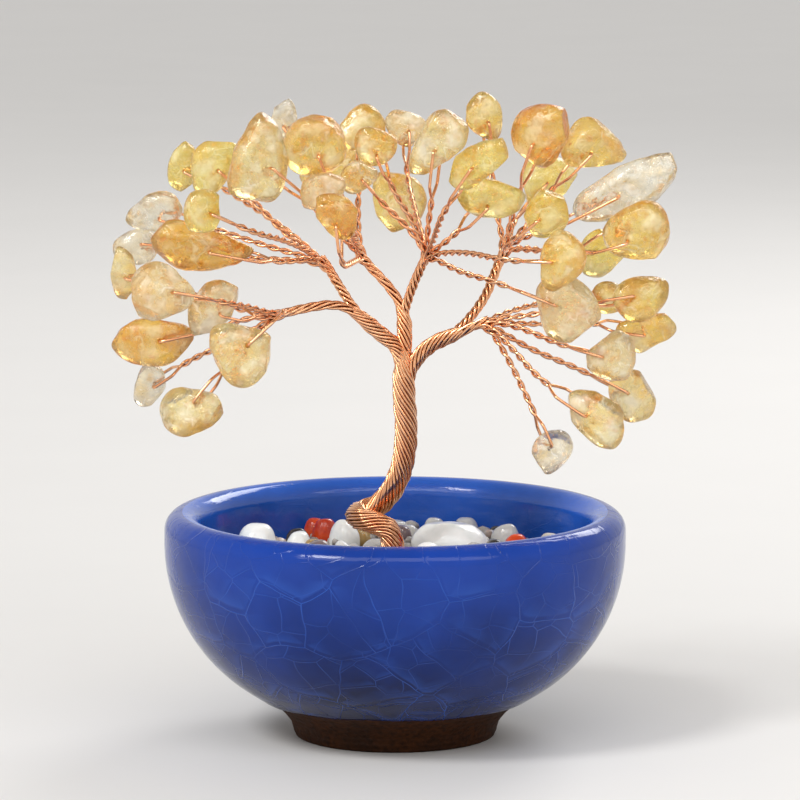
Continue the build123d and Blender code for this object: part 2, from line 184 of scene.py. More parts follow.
class WireSettings(bpy.types.PropertyGroup):
    """Sizes and colours of the copper wire."""
    wire: FloatProperty(name="Wire", description="Diameter of one wire", default=0.00038, unit="LENGTH")
    pair_share: FloatProperty(name="Pair Share",
                              description="A twig's wires lie this share of a wire from its middle",
                              default=0.58, min=0.5)
    trunk: FloatProperty(name="Trunk", description="Diameter of the trunk's bundle",
                         default=0.00275, unit="LENGTH")
    limb: FloatProperty(name="Limb", description="Diameter of a limb's bundle",
                        default=0.0019, unit="LENGTH")
    branch: FloatProperty(name="Branch", description="Diameter of an upper limb",
                          default=0.0012, unit="LENGTH")
    lay_angle: FloatProperty(name="Lay", description="Slant of a bundle's strands",
                             default=math.radians(-29),
                             subtype="ANGLE")
    pair_pitch: FloatProperty(name="Pair Pitch", description="Length of one turn of a twig", default=0.0033,
                              unit="LENGTH")
    face_gap: FloatProperty(name="Face Gap", description="Gap between a leg and its chip", default=0.00022,
                            unit="LENGTH")
    edge_gap: FloatProperty(name="Edge Gap", description="Gap between a neck and its chip", default=0.00035,
                            unit="LENGTH")
    bright: FloatVectorProperty(name="Bright Copper", description="Clean wire", subtype="COLOR",
                                default=(0.99, 0.55, 0.31))
    dull: FloatVectorProperty(name="Dull Copper", description="Tarnished wire", subtype="COLOR",
                              default=(0.86, 0.37, 0.17))
    # Painted shade: a dark copper colour painted between the strands and on the core, standing in for shade
    gap: FloatVectorProperty(name="Gap", description="Dark copper between the strands", subtype="COLOR",
                             default=(0.075, 0.018, 0.006))


class ChipSettings(bpy.types.PropertyGroup):
    """How the crystal chips are cut and tumbled."""
    grain: FloatProperty(name="Grain", description="Size of a chip's mesh cells",
                         default=0.00019, unit="LENGTH")
    facets: IntProperty(name="Facets", description="Flats worn on each chip", default=8, min=0)
    dent: FloatProperty(name="Dent", description="Depth of the dents", default=0.0003, unit="LENGTH")
    seed: IntProperty(name="Seed", description="Start of the random draws", default=7)


class StoneSettings(bpy.types.PropertyGroup):
    """The pebbles and the grit between them."""
    grain: FloatProperty(name="Grain", description="Size of a pebble's mesh cells",
                         default=0.00022, unit="LENGTH")
    dent: FloatProperty(name="Dent", description="Depth of the dents", default=0.00035, unit="LENGTH")
    flats: IntProperty(name="Flats", description="Flats worn on each pebble", default=4, min=0)
    grit: FloatProperty(name="Grit", description="Size of the grit between the pebbles",
                        default=0.0017, unit="LENGTH")
    grit_count: IntProperty(name="Grit Count", description="Grains of grit", default=260, min=0)
    seed: IntProperty(name="Seed", description="Start of the random draws", default=3)


class StageSettings(bpy.types.PropertyGroup):
    """Floor, light and camera."""
    floor: FloatVectorProperty(name="Floor", description="Colour of the floor", subtype="COLOR",
                               default=(0.80, 0.785, 0.765))
    sky: FloatVectorProperty(name="Backdrop", description="Colour behind the object", subtype="COLOR",
                             default=(0.80, 0.79, 0.78))
    sun: FloatProperty(name="Key", description="Strength of the soft key light", default=1.2)
    ambient: FloatProperty(name="Ambient", description="Strength of the light from all round", default=0.55)
    ceiling: FloatProperty(name="Ceiling", description="Share of the backdrop's brightness overhead",
                           default=0.35)
    columns: IntProperty(name="Columns", description="Width of the picture that the pixels count in",
                         default=800)
    aim: FloatVectorProperty(name="Aim",
                             description="The point in the picture's middle", subtype="TRANSLATION",
                             default=(0.0006, 0.0, FILL_TOP + 168 * PIXEL))


def settings(group):
    return getattr(bpy.context.scene, f"ornament_{group}")


# Helpers for meshes


def piece_from_mesh(name, mesh, materials, body=ROOT, slot=None, replaced=()):
    """Links a finished mesh as a piece that rides on a body and stands for CAD nodes."""
    mesh.name = name
    for material in materials:
        mesh.materials.append(material)
    mesh.polygons.foreach_set("use_smooth", [True] * len(mesh.polygons))
    piece = bpy.data.objects.new(name, mesh)
    bpy.context.scene.collection.objects.link(piece)
    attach(piece, body)
    if replaced:
        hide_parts(*replaced)
    return piece


def mesh_from(bm):
    mesh = bpy.data.meshes.new("made")
    bm.to_mesh(mesh)
    bm.free()
    return mesh


def merged_copy(node, grain):
    """A CAD node's shape as a bmesh whose faces hang together."""
    bm = bmesh.new()
    bm.from_mesh(frame["nodes"][node].data)
    bmesh.ops.remove_doubles(bm, verts=bm.verts, dist=grain / 100)
    return bm


def evened(bm, grain):
    """The same shape again, made of even cells."""
    carrier = bpy.data.objects.new("even", mesh_from(bm))
    bpy.context.scene.collection.objects.link(carrier)
    remesh = carrier.modifiers.new("even", "REMESH")
    remesh.mode = "VOXEL"
    remesh.voxel_size = grain
    evaluated = carrier.evaluated_get(bpy.context.evaluated_depsgraph_get())
    mesh = bpy.data.meshes.new_from_object(evaluated)
    even = bmesh.new()
    even.from_mesh(mesh)
    old = carrier.data
    bpy.data.objects.remove(carrier)
    bpy.data.meshes.remove(old)
    bpy.data.meshes.remove(mesh)
    return even


def soften(bm, turns):
    for turn in range(turns):
        bmesh.ops.smooth_vert(bm, verts=bm.verts, factor=0.5,
                              use_axis_x=True, use_axis_y=True, use_axis_z=True)


def roughen(bm, depth, size, seed):
    """Pushes a surface in and out by smooth noise."""
    bm.normal_update()
    shift = Vector((seed, seed * 1.7, seed * 0.3))
    moves = [(vert, vert.normal * depth * noise.noise(vert.co / size + shift)) for vert in bm.verts]
    for vert, move in moves:
        vert.co += move


def solids(bm):
    """Each separate solid in a bmesh, as a bmesh of its own."""
    bm.verts.index_update()
    taken = set()
    for start in bm.verts:
        if start.index in taken:
            continue
        taken.add(start.index)
        grown = [start]
        for vert in grown:
            for edge in vert.link_edges:
                other = edge.other_vert(vert)
                if other.index not in taken:
                    taken.add(other.index)
                    grown.append(other)
        kept = {vert.index for vert in grown}
        solid = bm.copy()
        solid.verts.index_update()
        others = [vert for vert in solid.verts if vert.index not in kept]
        bmesh.ops.delete(solid, geom=others, context="VERTS")
        yield solid


def press(verts, way, share):
    """Flattens a stone where it stands out past a share of its reach."""
    centre = sum((vert.co for vert in verts), Vector()) / len(verts)
    limit = share * max((vert.co - centre).dot(way) for vert in verts)
    for vert in verts:
        over = (vert.co - centre).dot(way) - limit
        if over > 0:
            vert.co -= way * over * PRESS_SHARE


def wear(verts, flats, shares, draw):
    """Flattens a stone against a few planes, as a broken one is."""
    for flat in range(flats):
        way = Vector((draw.gauss(0, 1), draw.gauss(0, 1), draw.gauss(0, 1))).normalized()
        press(verts, way, draw.uniform(*shares))


# Helpers for wire


def seen_at(column, row, depth_share):
    """The point that shows at a pixel, at a share of the crown's half depth from the trunk."""
    flat = Vector(((column - AXIS_COLUMN) * PIXEL, 0, FILL_TOP + (FILL_ROW - row) * PIXEL))
    return EYE + (flat - EYE) * (1 + depth_share * HALF_DEPTH / -EYE.y)


def curve_mesh(lines, kind, bevel=0.0, resolution=12):
    """A mesh of curves through the lines, as bare lines or as round wires."""
    curve = bpy.data.curves.new("lines", "CURVE")
    curve.dimensions = "3D"
    curve.resolution_u = resolution
    curve.bevel_depth = bevel
    curve.bevel_resolution = 2
    curve.use_fill_caps = True
    for line in lines:
        spline = curve.splines.new(kind)
        spline.points.add(len(line) - 1)
        for knot, point in zip(spline.points, line):
            knot.co = (*point, 1)
        if kind == "NURBS":
            spline.order_u = 3
            spline.use_endpoint_u = True
    carrier = bpy.data.objects.new("lines", curve)
    mesh = bpy.data.meshes.new_from_object(carrier)
    bpy.data.objects.remove(carrier)
    bpy.data.curves.remove(curve)
    return mesh


def smooth_route(points):
    """Points of the smooth line that follows a route's points."""
    mesh = curve_mesh([points], "NURBS")
    route = [vert.co.copy() for vert in mesh.vertices]
    bpy.data.meshes.remove(mesh)
    return route


def stepped(route, step):
    """The route again, with points an even step apart."""
    points = [route[0].copy()]
    left = step
    for start, end in zip(route, route[1:]):
        run = (end - start).length
        while run > left:
            start = start.lerp(end, left / run)
            points.append(start.copy())
            run = (end - start).length
            left = step
        left -= run
    if (points[-1] - route[-1]).length > step / 2:
        points.append(route[-1].copy())
    return points


def framed(route):
    """Each point of a route with two directions square to it that turn as little as they can."""
    across = (route[1] - route[0]).orthogonal().normalized()
    made = []
    for order, point in enumerate(route):
        ahead = (route[min(order + 1, len(route) - 1)] - route[max(order - 1, 0)]).normalized()
        across = (across - ahead * across.dot(ahead)).normalized()
        made.append((point, across, ahead.cross(across)))
    return made


def trunk_route(wires):
    foot = seen_at(*TRUNK_FOOT)
    points = [seen_at(column, row, 0) for column, row in TRUNK_PIXELS] + [foot]
    points += [foot + Vector(shares) * wires.trunk for shares in HOOK_SHARES]
    tail = foot + Vector((*TAIL_SHARES, 0)) * wires.trunk
    points.append(Vector((tail.x, tail.y, FILL_TOP - TAIL_DEPTH)))
    return smooth_route(points)


def limb_routes(wires):
    """Every bundle's route. A limb's line starts back inside its parent, and so parts from it smoothly."""
    routes = {"trunk": trunk_route(wires)}
    for name, (parent, share, fork_share, seen) in LIMBS.items():
        line = routes[parent]
        place = round(share * (len(line) - 1))
        lead = LIMB_LEAD if parent == "trunk" else -LIMB_LEAD
        inside = line[max(0, min(len(line) - 1, place + lead))]
        routes[name] = smooth_route([inside, line[place]] + [seen_at(*pixel) for pixel in seen])
    return routes


def bundle_mesh(route, diameter, wires, head_share, tail_share, fork_share=None):
    """A twisted bundle: a ring of helical strands round a core.

    The head and tail shares draw its ends in. Every second strand leaves at the fork, if there is one, and
    the rest close in there.
    """
    ring = (diameter - wires.wire) / 2
    strands = int(2 * math.pi * ring * math.cos(wires.lay_angle) / wires.wire)
    pitch = 2 * math.pi * ring / math.tan(wires.lay_angle)
    step = abs(pitch) / STEPS_IN_TURN
    frames = framed(stepped(route, step))
    ease = diameter * EASE_SHARE / step
    fork = len(frames) if fork_share is None else fork_share * (len(frames) - 1)
    narrow_share = (wires.branch - wires.wire) / 2 / ring
    core = [point for point, across, beside in frames]
    lines = []
    for strand in range(strands):
        line = []
        for order, (point, across, beside) in enumerate(frames):
            if strand % 2 and order > fork + ease * 0.5:
                break
            head = min(1, order / ease)
            tail = min(1, (len(frames) - 1 - order) / ease)
            forked = max(0, min(1, (order - fork) / ease + 0.5))
            draw = (head_share + (1 - head_share) * head) * (tail_share + (1 - tail_share) * tail)
            draw *= 1 + (narrow_share - 1) * forked
            angle = 2 * math.pi * (strand / strands + math.copysign(order / STEPS_IN_TURN, pitch))
            jitter = 1 + STRAND_JITTER * math.sin(strand * 2.3 + order * 0.11)
            offset = across * math.cos(angle) + beside * math.sin(angle)
            line.append(point + offset * ring * draw * jitter)
        lines.append(line)
    bm = bmesh.new()
    thin = ring * min(head_share, tail_share, 1 if fork_share is None else narrow_share)
    # The core tube takes the second material: dark copper painted as shade between the strands
    wound = (curve_mesh(lines, "POLY", wires.wire / 2), curve_mesh([core], "POLY", thin))
    for finish, mesh in enumerate(wound):
        mesh.polygons.foreach_set("material_index", [finish] * len(mesh.polygons))
        bm.from_mesh(mesh)
        bpy.data.meshes.remove(mesh)
    return mesh_from(bm)


class Thread:
    """How one chip hangs on its wire, read from its joint and its finished shape."""

    def __init__(self, joint, roots, wires):
        self.chip = joint["child"]
        self.limb = self.chip.removeprefix("chip_").rsplit("_", 1)[0] + "_limb"
        self.root, self.lead = roots[self.limb]
        self.hole = Vector(joint["pos_m"])
        self.axis = Vector(joint["axis"]).normalized()
        away = self.hole - self.root
        self.stem = (away - self.axis * away.dot(self.axis)).normalized()
        swing = math.radians(2 * joint["range_deg"][1])
        half_thickness, reach = 0, 0
        for vert in bpy.data.objects[f"{self.chip}_crystal"].data.vertices:
            spoke = vert.co - self.hole
            height = spoke.dot(self.axis)
            flat = spoke - self.axis * height
            if flat.length < wires.wire or flat.angle(-self.stem) < swing:
                half_thickness = max(half_thickness, abs(height))
                reach = max(reach, flat.length)
        self.leg = half_thickness + wires.face_gap + wires.wire / 2
        self.shoulder = self.hole - self.stem * (reach + wires.edge_gap)
        room = (self.shoulder - self.root).dot(self.stem)
        self.neck = self.shoulder - self.stem * min(self.leg, max(room, wires.wire * 2))

    def wire_line(self, wires, order):
        """One wire from the limb to the chip, through its hole and back, twisted up to the neck."""
        run = self.neck - self.root
        bow = run.cross(self.axis) * TWIG_BOW * math.sin(order * 2.4)
        before = self.neck - self.stem * (max(0, run.dot(self.stem)) * 0.12 + wires.wire)
        ends = [self.lead, self.root, self.root.lerp(before, 0.5) + bow, before, self.neck]
        step = wires.pair_pitch / STEPS_IN_TURN
        frames = framed(stepped(smooth_route(ends), step))
        point, across, beside = frames[-1]
        last = math.atan2(self.axis.dot(beside), self.axis.dot(across))
        sides = ([], [])
        for back, (point, across, beside) in enumerate(reversed(frames)):
            angle = last + 2 * math.pi * back / STEPS_IN_TURN
            offset = (across * math.cos(angle) + beside * math.sin(angle)) * wires.wire * wires.pair_share
            sides[0].append(point + offset)
            sides[1].append(point - offset)
        return list(reversed(sides[0])) + self.leg_line(wires, 1) + self.leg_line(wires, -1)[::-1] + sides[1]

    def leg_line(self, wires, side):
        """From the neck along one face of the chip, and round into the hole."""
        bend = wires.wire
        high = self.axis * self.leg * side
        low = self.axis * wires.wire * wires.pair_share * side
        over = self.hole + high - self.stem * bend
        spread = self.neck.lerp(self.shoulder, 0.6) + high * 0.85
        points = smooth_route([self.neck + low, spread, self.shoulder + high, over])[1:]
        for turn in (30, 60, 90):
            angle = math.radians(turn)
            along = self.stem * bend * math.sin(angle)
            inward = high.normalized() * bend * (1 - math.cos(angle))
            points.append(over + along - inward)
        return points


# Materials


class Nodes:
    """A node tree, with short ways to add nodes and join them."""

    def __init__(self, tree):
        self.tree = tree

    def plug(self, socket, value):
        """Links a socket to another, or gives it a value."""
        if isinstance(value, bpy.types.NodeSocket):
            self.tree.links.new(value, socket)
        else:
            socket.default_value = value

    def node(self, kind, inputs, **options):
        made = self.tree.nodes.new(kind)
        for name, value in options.items():
            setattr(made, name, value)
        for name, value in inputs.items():
            self.plug(made.inputs[name], value)
        return made

    def band(self, value, low, high, to_low=0.0, to_high=1.0):
        inputs = {"Value": value, "From Min": low, "From Max": high, "To Min": to_low, "To Max": to_high}
        return self.node("ShaderNodeMapRange", inputs).outputs["Result"]

    def math(self, operation, first, second):
        return self.node("ShaderNodeMath", {0: first, 1: second}, operation=operation).outputs[0]


class Finish(Nodes):
    """A material under construction."""

    def __init__(self, name, roughness=0.5, metallic=0.0):
        self.material = bpy.data.materials.new(name)
        self.material.use_nodes = True
        super().__init__(self.material.node_tree)
        self.surface = self.tree.nodes["Principled BSDF"]
        self.set("Roughness", roughness)
        self.set("Metallic", metallic)
        self.place = self.node("ShaderNodeTexCoord", {}).outputs["Object"]

    def set(self, name, value):
        self.plug(self.surface.inputs[name], value)

    def noise(self, size, detail=3.0, distortion=0.0, vector=None):
        place = vector or self.place
        inputs = {"Vector": place, "Scale": 1 / size, "Detail": detail, "Distortion": distortion}
        return self.node("ShaderNodeTexNoise", inputs).outputs["Fac"]

    def warped(self, size, reach, vector=None):
        """A place, pushed about by noise."""
        place = vector or self.place
        inputs = {"Vector": place, "Scale": 1 / size, "Detail": 2.0}
        colour = self.node("ShaderNodeTexNoise", inputs).outputs["Color"]
        centred = self.node("ShaderNodeVectorMath", {0: colour, 1: (0.5, 0.5, 0.5)}, operation="SUBTRACT")
        scaled = self.node("ShaderNodeVectorMath", {0: centred.outputs[0], "Scale": reach}, operation="SCALE")
        moved = self.node("ShaderNodeVectorMath", {0: place, 1: scaled.outputs[0]}, operation="ADD")
        return moved.outputs[0]

    def edges(self, size, vector, dimensions="3D"):
        """How far a point is from the edges of a net of cells."""
        inputs = {"Vector": vector, "Scale": 1 / size}
        options = {"voronoi_dimensions": dimensions, "feature": "DISTANCE_TO_EDGE"}
        return self.node("ShaderNodeTexVoronoi", inputs, **options).outputs["Distance"]

    def cells(self, size, vector, dimensions="3D"):
        """A colour for each cell of the same net."""
        inputs = {"Vector": vector, "Scale": 1 / size}
        return self.node("ShaderNodeTexVoronoi", inputs, voronoi_dimensions=dimensions).outputs["Color"]

    def mix(self, share, first, second):
        made = self.node("ShaderNodeMix", {0: share}, data_type="RGBA")
        for socket, value in ((made.inputs[6], first), (made.inputs[7], second)):
            self.plug(socket, value if isinstance(value, bpy.types.NodeSocket) else (*value, 1))
        return made.outputs[2]

    def bump(self, height, distance, strength=1.0, normal=None):
        inputs = {"Height": height, "Distance": distance, "Strength": strength}
        if normal:
            inputs["Normal"] = normal
        return self.node("ShaderNodeBump", inputs).outputs["Normal"]


def crack_lines(finish, size, place, width):
    """A net of cracks, and a painted highlight on the upper side of each, standing in for light on the glaze's
    step.
    """
    drop = (0, -0.12 * size, 0)
    lower = finish.node("ShaderNodeVectorMath", {0: place, 1: drop}, operation="ADD").outputs[0]
    edge = finish.edges(size, place, "2D")
    nearing = finish.math("SUBTRACT", edge, finish.edges(size, lower, "2D"))
    # Painted highlight: paler glaze just above each crack, standing in for light catching the step in the glaze
    painted_glow = finish.math("MULTIPLY", finish.band(edge, 0.0, 0.34, 0.7, 0.0), finish.band(nearing, 0.02, 0.1))
    return finish.band(edge, width / 6, width, 1.0, 0.0), painted_glow


def glaze_material(name, bowl, crackle_share, gloss, bright_blue):
    """Cobalt glaze with a web of fine crackle lines, painted darker towards the foot as shade under the bowl.

    Long cracks part the glaze into cells, and each cell has short cracks that end at the long ones. Each crack has
    a painted highlight on its upper side.
    """
    finish = Finish(name, roughness=0.12)
    height = finish.node("ShaderNodeSeparateXYZ", {0: finish.place}).outputs["Z"]
    flat = finish.node("ShaderNodeUVMap", {}, uv_map="glaze").outputs["UV"]
    bent = finish.warped(0.011, 0.0045, flat)
    cells = finish.cells(bowl.crackle, bent, "2D")
    chance = finish.node("ShaderNodeSeparateColor", {0: cells}).outputs["Red"]
    own = finish.node("ShaderNodeVectorMath", {0: bent, 1: cells}, operation="ADD").outputs[0]
    long_cracks, long_painted_glow = crack_lines(finish, bowl.crackle, bent, 0.012)
    short_cracks, short_painted_glow = crack_lines(finish, bowl.crackle * 0.55, own, 0.022)
    cracks = finish.math("MAXIMUM", long_cracks, finish.math("MULTIPLY", short_cracks, 0.7))
    # The crack lines carry the painted highlights, which are mixed into the colour below
    painted_glow = finish.math("MAXIMUM", long_painted_glow, finish.math("MULTIPLY", short_painted_glow, chance))
    lines = finish.math("MULTIPLY", finish.math("MAXIMUM", cracks, painted_glow), crackle_share)
    fade = finish.band(finish.noise(0.007, detail=3.0), 0.36, 0.62, 0.12, 1.0)
    below = finish.band(height, BOWL_HEIGHT - bowl.wall, BOWL_HEIGHT - bowl.wall / 2, 1.0, 0.12)
    shown = finish.math("MULTIPLY", finish.math("MULTIPLY", lines, fade), below)
    cloud = finish.band(finish.noise(0.012, detail=4.0), 0.3, 0.75, -0.15, 0.25)
    # Painted shade: the blue darkens towards the foot by height, standing in for shade under the bowl; the cloud
    # is the glaze's own uneven tone
    thin = finish.math("ADD", cloud, finish.band(height, 0.0, BOWL_HEIGHT))
    blue = finish.mix(finish.band(thin, 0.2, 1.05), bowl.deep_blue, bright_blue)
    finish.set("Base Color", finish.mix(shown, blue, bowl.crackle_blue))
    finish.set("Specular IOR Level", gloss)
    finish.set("Roughness", finish.band(finish.noise(0.003), 0.3, 0.7, 0.08, 0.16))
    orange_peel = finish.bump(finish.noise(0.0022, detail=1.0), 0.00004)
    finish.set("Normal", finish.bump(lines, 0.00003, normal=orange_peel))
    return finish.material


def clay_material(bowl):
    """Bare dark clay with turning marks and sandy specks."""
    finish = Finish("bare_clay", roughness=0.8)
    speck = finish.band(finish.noise(0.0006, detail=5.0), 0.4, 0.75)
    cloud = finish.noise(0.006)
    lighter = tuple(value * 2.2 for value in bowl.clay)
    body = finish.mix(finish.band(cloud, 0.35, 0.7), bowl.clay, lighter)
    finish.set("Base Color", finish.mix(speck, body, tuple(value * 0.5 for value in bowl.clay)))
    finish.set("Specular IOR Level", 0.15)
    finish.set("Roughness", finish.band(cloud, 0.3, 0.7, 0.55, 0.85))
    height = finish.node("ShaderNodeSeparateXYZ", {0: finish.place}).outputs["Z"]
    rings = finish.math("SINE", finish.math("MULTIPLY", height, 9000.0), 0.0)
    finish.set("Normal", finish.bump(speck, 0.00008, normal=finish.bump(rings, 0.00003)))
    return finish.material


def plaster_material():
    """Sandy potting plaster."""
    finish = Finish("potting_plaster", roughness=0.9)
    grain = finish.noise(0.0007, detail=6.0)
    damp, dry = (0.10, 0.085, 0.075), (0.34, 0.31, 0.28)
    finish.set("Base Color", finish.mix(finish.band(grain, 0.3, 0.7), damp, dry))
    finish.set("Normal", finish.bump(grain, 0.0003))
    return finish.material


def copper_material(name, wires, bright, dull):
    """Drawn copper wire, bright where clean, brown where tarnished, and with shade painted dark where wires lie
    close.
    """
    finish = Finish(name, metallic=1.0)
    # Painted shade: ambient occlusion turns the colour dark where wires lie close, as shade in the crevices
    clear = finish.node("ShaderNodeAmbientOcclusion", {"Distance": wires.wire}, samples=8, only_local=True)
    tarnish = finish.band(finish.noise(0.004, detail=5.0), 0.4, 0.75)
    streak = finish.noise(0.00045, detail=2.0)
    clean = finish.mix(finish.band(streak, 0.35, 0.7), bright, tuple(value * 0.84 for value in bright))
    outer = finish.mix(tarnish, clean, dull)
    finish.set("Base Color", finish.mix(finish.band(clear.outputs["AO"], 0.22, 0.62), wires.gap, outer))
    finish.set("Roughness", finish.band(tarnish, 0.0, 1.0, 0.14, 0.28))
    finish.set("Normal", finish.bump(streak, 0.00001, strength=0.6))
    return finish.material


RUST_SHARES = (0.95, 0.72, 0.5)
SMOKE = (0.30, 0.25, 0.17)


def crystal_material(name, deep, pale, veil, clearness):
    """Tumbled citrine: clear, stained gold in clouds, gold along the rim as stain and painted rim light, with
    white cracks and fine grain.
    """
    finish = Finish(f"citrine_{name}")
    rim = finish.node("ShaderNodeAttribute", {}, attribute_name="rim").outputs["Fac"]
    # Gold along the rim is partly the stone's own deeper colour at its edges and partly painted rim light
    stain_and_rim_light = finish.math("ADD", finish.band(finish.noise(0.0032, detail=4.0), 0.46, 0.72),
                        finish.band(rim, 0.55, 1.0, 0.0, 0.9))
    rust = finish.band(finish.noise(0.0013, detail=3.0), 0.58, 0.72, 0.0, 0.7)
    grain = finish.band(finish.noise(0.00045, detail=4.0), 0.48, 0.72)
    bent = finish.warped(0.003, 0.003)
    folds = finish.noise(0.0026, detail=2.0, vector=bent)
    ridge = finish.math("ABSOLUTE", finish.math("SUBTRACT", folds, 0.5), 0.0)
    crack = finish.math("MULTIPLY", finish.band(ridge, 0.0, 0.07, 0.6, 0.0),
                        finish.band(finish.noise(0.0024), 0.48, 0.6))
    core = finish.math("MULTIPLY", finish.band(finish.noise(0.003, detail=6.0), 0.48, 0.66),
                       finish.band(rim, 0.2, 0.6, 0.65, 0.0))
    milk = finish.math("MAXIMUM", crack, finish.math("MAXIMUM", core, finish.math("MULTIPLY", grain, 0.35)))
    smoke = finish.band(finish.noise(0.0024, detail=2.0, vector=bent), 0.62, 0.76, 0.0, 0.5)
    tint = finish.mix(finish.band(stain_and_rim_light, 0.0, 1.0), pale, deep)
    rusty = finish.mix(rust, tint, tuple(value * fade for value, fade in zip(deep, RUST_SHARES)))
    finish.set("Base Color", finish.mix(milk, finish.mix(smoke, rusty, SMOKE), veil))
    finish.set("Transmission Weight", finish.band(milk, 0.0, 1.0, clearness, clearness * 0.35))
    finish.set("Roughness", finish.band(finish.noise(0.003, detail=3.0), 0.45, 0.7, 0.05, 0.2))
    finish.set("IOR", 1.54)
    waves = finish.bump(finish.noise(0.0017), 0.00022)
    finish.set("Normal", finish.bump(grain, 0.00003, normal=waves))
    return finish.material


# Stained colours, also painted along the rim as rim light, then pale and milky colours, and clearness
CRYSTALS = {
    "pale": ((0.94, 0.51, 0.05), (0.97, 0.82, 0.38), (0.99, 0.96, 0.86), 0.84),
    "clear": ((0.92, 0.64, 0.20), (0.96, 0.92, 0.78), (0.99, 0.98, 0.94), 0.92),
    "gold": ((0.94, 0.43, 0.015), (0.97, 0.75, 0.20), (0.99, 0.93, 0.70), 0.82),
    "amber": ((0.90, 0.31, 0.01), (0.95, 0.61, 0.11), (0.99, 0.88, 0.60), 0.84),
    "lemon": ((0.92, 0.57, 0.03), (0.98, 0.82, 0.24), (0.99, 0.95, 0.66), 0.80),
    "peach": ((0.94, 0.54, 0.10), (0.97, 0.82, 0.45), (0.99, 0.95, 0.84), 0.80),
}


def stone_material(name, dark, light, vein, size, roughness, clearness=0.0):
    """A tumbled pebble with clouds and veins."""
    finish = Finish(name, roughness=roughness)
    bent = finish.warped(0.003, 0.003)
    cloud = finish.band(finish.noise(size, detail=5.0, vector=bent), 0.32, 0.7)
    veins = finish.band(finish.edges(size * 1.6, bent), 0.0, 0.09, 1.0, 0.0)
    shown = finish.math("MULTIPLY", veins, finish.band(finish.noise(size * 2), 0.45, 0.65, 0.0, 0.7))
    finish.set("Base Color", finish.mix(shown, finish.mix(cloud, dark, light), vein))
    finish.set("Transmission Weight", clearness)
    pits = finish.noise(0.0006, detail=4.0)
    finish.set("Roughness", finish.band(pits, 0.3, 0.7, roughness * 0.7, roughness * 1.3))
    finish.set("Normal", finish.bump(pits, 0.00004))
    return finish.material


# Dark, light and vein colours, cloud size, roughness and clearness; a node's pebbles take them in turn
STONES = {
    "white_stones": [
        ((0.90, 0.94, 0.92), (0.98, 0.99, 0.97), (0.80, 0.84, 0.81), 0.004, 0.16, 0.0)],
    "clear_stones": [
        ((0.88, 0.88, 0.85), (0.97, 0.97, 0.95), (0.98, 0.97, 0.94), 0.003, 0.1, 0.45),
        ((0.66, 0.60, 0.50), (0.86, 0.81, 0.72), (0.92, 0.88, 0.80), 0.003, 0.12, 0.25)],
    "red_stones": [
        ((0.50, 0.035, 0.008), (0.78, 0.10, 0.022), (0.82, 0.28, 0.10), 0.0025, 0.14, 0.0)],
    "dark_stones": [
        ((0.016, 0.014, 0.014), (0.07, 0.06, 0.055), (0.30, 0.27, 0.24), 0.0025, 0.14, 0.0),
        ((0.10, 0.065, 0.075), (0.30, 0.22, 0.22), (0.42, 0.34, 0.32), 0.0025, 0.16, 0.0),
        ((0.42, 0.24, 0.07), (0.72, 0.50, 0.20), (0.80, 0.66, 0.40), 0.0025, 0.14, 0.3)],
}


def floor_material(stage):
    """A plain pale floor with a faint mottle."""
    finish = Finish("pale_floor", roughness=0.65)
    mottle = finish.noise(0.03, detail=5.0)
    finish.set("Base Color", finish.mix(mottle, stage.floor, tuple(value * 0.965 for value in stage.floor)))
    return finish.material


# Operators, one for each group of pieces


